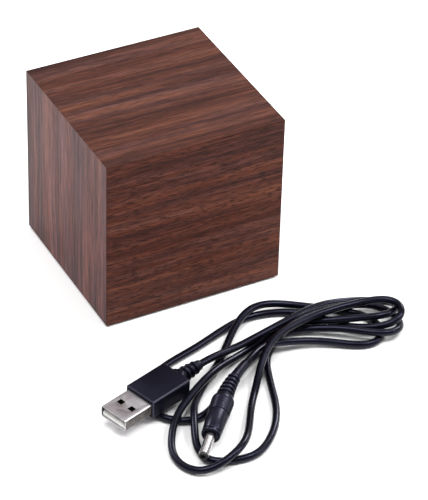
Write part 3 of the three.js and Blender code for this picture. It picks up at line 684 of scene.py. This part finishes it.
def usb_tongue(white, dark):
    """The plastic tongue inside the shell, white at its tip, with painted shade on its face further in:
    dark plastic where the latch windows look in.
    """
    place = plug_matrix(USB_PLACE)
    top, bottom, half = TONGUE_TOP, TONGUE_BOTTOM, TONGUE_HALF
    profile = [(0.5, bottom + 0.1), (0.7, bottom), (13.8, bottom), (13.8, top), (TONGUE_PAINTED_SHADE_FROM, top),
               (1.1, top), (0.5, top - 0.5)]
    vertices = [(x, y, z) for y in (-half, half) for x, z in profile]
    count = len(profile)
    faces = [tuple(range(count)), tuple(range(2 * count - 1, count - 1, -1))]
    faces += [(i, (i + 1) % count, count + (i + 1) % count, count + i) for i in range(count)]
    tongue = new_piece("usb_plug_tongue", (vertices, faces), white, "usb_insulator", place)
    tongue.data.materials.append(dark)
    # painted shade: the top face behind the tip takes the dark plastic
    for face in tongue.data.polygons:
        middle = place.inverted() @ face.center
        on_top = abs(middle.y) < half * MM * 0.9 and middle.z > top * MM * 1.2
        if on_top and middle.x > TONGUE_PAINTED_SHADE_FROM * MM:
            face.material_index = 1
    return tongue


def usb_contact(name, y, gold):
    low, high = (1.6, y - 0.5, TONGUE_TOP + 0.06), (9, y + 0.5, TONGUE_TOP + 0.28)
    return new_piece(f"usb_plug_{name}_contact", block(low, high, 0.08), gold,
                     f"usb_contact_{name}", plug_matrix(USB_PLACE))


def ribs(start, length, count, wide, narrow, depth, groove):
    """The turned profile of a strain relief: round ribs that narrow along X, as (x, radius)."""
    pitch = length / count
    points = []
    for i in range(count):
        radius = wide + (narrow - wide) * i / (count - 1)
        x = start + i * pitch
        base = radius - depth
        points += [(x, base), (x + groove * pitch, base)]
        crown = (1 - groove) * pitch
        for step in range(RIB_STEPS + 1):
            share = step / RIB_STEPS
            lift = math.sin(math.pi * share) ** RIB_FULLNESS
            points.append((x + groove * pitch + share * crown, base + depth * lift))
    return points


def usb_overmold_rings(sides):
    """The flat body with its chamfered front, then the ribbed neck, as rings along X."""
    length, width, height, chamfer = 18.5, 13.4, 7.2, 0.55
    x = USB_BODY_START
    neck = x + length

    def body(inset, corner=0.6):
        return box_ring(width - 2 * inset, height - 2 * inset, corner, sides)

    rings = [
        (x + 2, box_ring(12.3, 4.8, 0.7, sides)), (x + 0.1, box_ring(12.3, 4.8, 0.7, sides)),
        (x, box_ring(12.5, 5, 0.8, sides)), (x, body(chamfer)), (x + 0.12, body(chamfer * 0.6)),
        (x + 0.35, body(chamfer * 0.2)), (x + chamfer, body(0)),
        (neck - 1.1, body(0)), (neck - 0.55, body(0.12)), (neck - 0.2, body(0.4)), (neck, body(0.9)),
        (neck + 0.15, box_ring(8.2, 5.9, 2.4, sides)), (neck + 0.9, box_ring(7.2, 5.9, 2.7, sides)),
        (neck + 1.6, box_ring(6.4, 5.7, 2.8, sides)), (neck + 2.1, box_ring(5.7, 5.4, 2.65, sides)),
    ]
    relief = [*ribs(neck + 2.2, 6.9, count=3, wide=2.95, narrow=2.5, depth=0.8, groove=0.36),
              (neck + 9.3, 2.0), (neck + 10.8, 1.85), (neck + 11, 1.75), (neck + 11, 1.2)]
    return rings + [(at, round_box_ring(radius, sides)) for at, radius in relief]


def usb_overmold(material, edge):
    """The moulded body, with a painted highlight on its top front edge and its long rounded edges: a
    lighter, glossier copy of its plastic, whose gloss catches real light too.
    """
    sides, front_bands, long_band = 48, (4, 5), 6
    piece = new_piece("usb_plug_overmold", loft(usb_overmold_rings(sides)), material,
                      "usb_overmold", plug_matrix(USB_PLACE), sharp=35)
    piece.data.materials.append(edge)
    for face in piece.data.polygons:
        band, step = divmod(face.index, sides)
        on_corner = step % (sides // 4) < sides // 4 - 1
        on_top = step < sides // 2
        # painted highlight: these bands take the lighter edge material
        if (band in front_bands and on_top) or (band == long_band and on_corner):
            face.material_index = 1
    return piece


# Barrel plug

def grip_grooves(start, length, count, first, last, depth):
    """Fine turned grip grooves along a nearly straight profile, as (x, radius)."""
    pitch = length / count
    points = []
    for i in range(count):
        radius = first + (last - first) * i / (count - 1)
        x = start + i * pitch
        points += [(x, radius), (x + 0.15 * pitch, radius - depth), (x + 0.35 * pitch, radius - depth),
                   (x + 0.5 * pitch, radius)]
    return points


def barrel_sleeve(material):
    profile = [(0.86, 1.3), (0.8, 1.36), (0.8, 1.66), (0.9, 1.75), (12, 1.75), (12, 1.3)]
    return new_piece("barrel_plug_sleeve", turned(profile, 48, closed=True), material,
                     "barrel_sleeve", plug_matrix(BARREL_PLACE))


def barrel_liner(material):
    profile = [(0.15, 0.85), (0, 1.0), (0, 1.4), (0.12, 1.55), (0.3, 1.62), (0.7, 1.62), (0.72, 1.2),
               (9.5, 1.2), (9.5, 0.85)]
    return new_piece("barrel_plug_liner", turned(profile, 40, closed=True), material,
                     "barrel_insulator", plug_matrix(BARREL_PLACE))


def barrel_socket(metal):
    profile = [(1.3, 0.55), (1.2, 0.6), (1.2, 0.75), (1.3, 0.8), (9.4, 0.8), (9.4, 0.55)]
    return new_piece("barrel_plug_socket", turned(profile, 32, closed=True), metal,
                     "barrel_contact", plug_matrix(BARREL_PLACE))


def flexed(vertices):
    """Bends the points behind the neck's start to follow its curve."""
    moved = []
    for x, y, z in vertices:
        shift, angle = neck_flex(x)
        moved.append((x - y * math.sin(angle), shift + y * math.cos(angle), z))
    return moved


def barrel_overmold(material):
    """Front rim, smooth barrel, a groove, a grooved grip, a round shoulder, ribs and a tapering neck."""
    x = BARREL_BODY_START
    profile = [
        (x + 1.5, 1.85), (x + 0.5, 1.85), (x + 0.5, 2.55), (x + 0.1, 2.75), (x, 2.9), (x + 0.08, 3.1),
        (x + 0.3, 3.28), (x + 0.7, 3.4), (x + 1.15, 3.42), (x + 1.3, 3.36), (x + 1.38, 3.12),
        (x + 1.6, 3.12), (x + 1.68, 3.3), (x + 1.85, 3.38), (x + 6, 3.6), (x + 10.7, 3.8),
        (x + 10.9, 3.76), (x + 10.95, 3.6), (x + 11.25, 3.6), (x + 11.3, 3.78), (x + 11.5, 3.86),
        *grip_grooves(x + 12, 5, count=5, first=3.87, last=4.0, depth=0.07),
        (x + 17.8, 4.02), (x + 18.5, 3.92), (x + 19, 3.72), (x + 19.5, 3.36), (x + 20, 3.08),
        (x + 20.5, 2.98),
        *ribs(x + 20.6, 10.6, count=5, wide=3.05, narrow=2.35, depth=0.7, groove=0.34),
        (x + 31.5, 1.95), (x + 35, 1.76), (x + 38.8, 1.62), (x + 39.3, 1.58), (x + 39.4, 1.45),
        (x + 39.4, 1.0),
    ]
    vertices, faces = turned(profile, 64)
    return new_piece("barrel_plug_overmold", (flexed(vertices), faces), material,
                     "barrel_overmold", plug_matrix(BARREL_PLACE), sharp=38)


# CAD nodes that keep their shape

def crisp(name, width, material, edge=None, angle=35):
    """Gives a CAD node its material and a small bevel, whose faces may have a material of their own."""
    node = NODES[name]
    node.data.materials.clear()
    node.data.materials.append(material)
    for polygon in node.data.polygons:
        polygon.material_index = 0
    node.modifiers.new("weld", "WELD").merge_threshold = WELD_DISTANCE
    flat = node.modifiers.new("flat", "DECIMATE")
    flat.decimate_type, flat.angle_limit = "DISSOLVE", math.radians(FLAT_ANGLE)
    bevel = node.modifiers.new("bevel", "BEVEL")
    bevel.width, bevel.segments = width * MM, 2
    bevel.limit_method, bevel.angle_limit = "ANGLE", math.radians(angle)
    if edge is not None:
        node.data.materials.append(edge)
        bevel.material = 1
    node.data.polygons.foreach_set("use_smooth", [False] * len(node.data.polygons))


def crisp_all(width, material, *names):
    for name in names:
        crisp(name, width, material)


make_camera()

usb_turn, barrel_turn = USB_PLACE["turn"], BARREL_PLACE["turn"]
walnut_top = walnut("walnut_top", "X", 1.0, TOP_TONES, fleck=0.4, dash=200, specular=0.12, fibre=0.38)
walnut_front = walnut("walnut_front", "X", 4.0, FRONT_TONES, fleck=0.7, dash=330, specular=0.12, fibre=0.46)
walnut_side = walnut("walnut_side", "Z", 7.0, SIDE_TONES, fleck=0.3, dash=160, specular=0.18, fibre=0.5)
# partly painted highlight: the side panels' bevels take this lighter wood, which draws the light line along
# their edges
edge_light_and_highlight = plain_wood("veneer_edge_light_and_highlight", (0.24, 0.13, 0.11), 0.5, specular=0.4)
edge_dark = plain_wood("veneer_edge_dark", (0.05, 0.018, 0.014), 0.7, specular=0.05)
fibreboard = plain_wood("fibreboard", (0.3, 0.19, 0.11), 0.85)
sheath = black_pvc("sheath_pvc", (0.0012, 0.0012, 0.0032), 0.27, grit=1800, depth=0.000006, specular=0.26)
plug_pvc = black_pvc("plug_pvc", (0.002, 0.002, 0.0055), 0.38, depth=0.000012, specular=0.22)
# painted highlight: a lighter, glossier copy of the plug's PVC for the overmold's edges
plug_edge_painted_highlight = black_pvc("plug_pvc_painted_highlight", (0.022, 0.022, 0.029), 0.3, depth=0.000006, specular=0.5)
barrel_pvc = black_pvc("barrel_pvc", (0.0022, 0.0022, 0.006), 0.34, depth=0.000012, specular=0.36)
nickel = plated("nickel", (0.64, 0.615, 0.645), 0.36, turn=usb_turn)
# painted shade: a darker copy of the nickel for the USB shell's two sides, with heavy mottled wear
nickel_side_painted_shade = plated("nickel_side_painted_shade", (0.2, 0.18, 0.172), 0.4, turn=usb_turn, wear=0.6)
nickel_sleeve = plated("nickel_sleeve", (0.8, 0.77, 0.77), 0.24, scale=(2400, 200, 200), turn=barrel_turn)
gold = plated("gold_contact", (0.8, 0.55, 0.22), 0.25)
white_plastic = moulded("white_plastic", (0.78, 0.78, 0.75), 0.4)
cover_abs = moulded("cover_abs", (0.016, 0.016, 0.018), 0.5, grit=2400, depth=0.00004)
button_abs = moulded("button_abs", (0.026, 0.026, 0.029), 0.35, grit=3000, depth=0.00001)
switch_pbt = moulded("switch_pbt", (0.012, 0.012, 0.013), 0.45)
foot_rubber = moulded("foot_rubber", (0.02, 0.02, 0.02), 0.75, grit=1500, depth=0.00003)
steel = plated("spring_steel", (0.6, 0.58, 0.57), 0.28)
zinc = plated("screw_zinc", (0.16, 0.16, 0.17), 0.35)
board_green = circuit_board("board_green")

plug_pieces = [
    usb_shell(nickel, nickel_side_painted_shade), usb_tongue(white_plastic, switch_pbt),
    usb_contact("power", 3.5, gold), usb_contact("ground", -3.5, gold), usb_overmold(plug_pvc, plug_edge_painted_highlight),
    barrel_sleeve(nickel_sleeve), barrel_liner(switch_pbt), barrel_socket(nickel_sleeve),
    barrel_overmold(barrel_pvc),
]
make_lead(sheath)

crisp_all(0.08, walnut_top, "top_panel", "bottom_panel")
# the side panels' bevels get the lighter edge wood, partly a painted highlight
for panel in ("left_panel", "right_panel"):
    crisp(panel, 0.22, walnut_side, edge_light_and_highlight)
crisp("front_veneer", 0.16, walnut_front, edge_dark)
crisp_all(0.1, fibreboard, "front_panel")
crisp_all(0.2, foot_rubber, "foot_front_left", "foot_front_right", "foot_back_left", "foot_back_right")
crisp_all(0.12, cover_abs, "back_cover", "battery_tray", "battery_door")
crisp_all(0.15, button_abs, "button_set", "button_up", "button_down")
crisp_all(0.08, switch_pbt, "switch_set", "switch_up", "switch_down", "controller_chip", "buzzer",
          "dc_jack_housing", "display_mask")
crisp_all(0.05, white_plastic, "plunger_set", "plunger_up", "plunger_down", "display_diffuser",
          "display_ribbon", "co2_sensor_membrane", "temperature_humidity_sensor")
crisp_all(0.05, board_green, "display_board", "main_board")
crisp_all(0.06, steel, "co2_sensor_can", "dc_jack_pin", "dc_jack_contact", "battery_plate_1",
          "battery_plate_2", "battery_plate_3")
for spring in ("battery_spring_1", "battery_spring_2", "battery_spring_3"):
    crisp(spring, 0.03, steel, angle=80)
crisp_all(0.08, zinc, "cover_screw_low_left", "cover_screw_low_right", "cover_screw_high_left",
          "cover_screw_high_right")

make_stage()

bpy.context.view_layer.update()
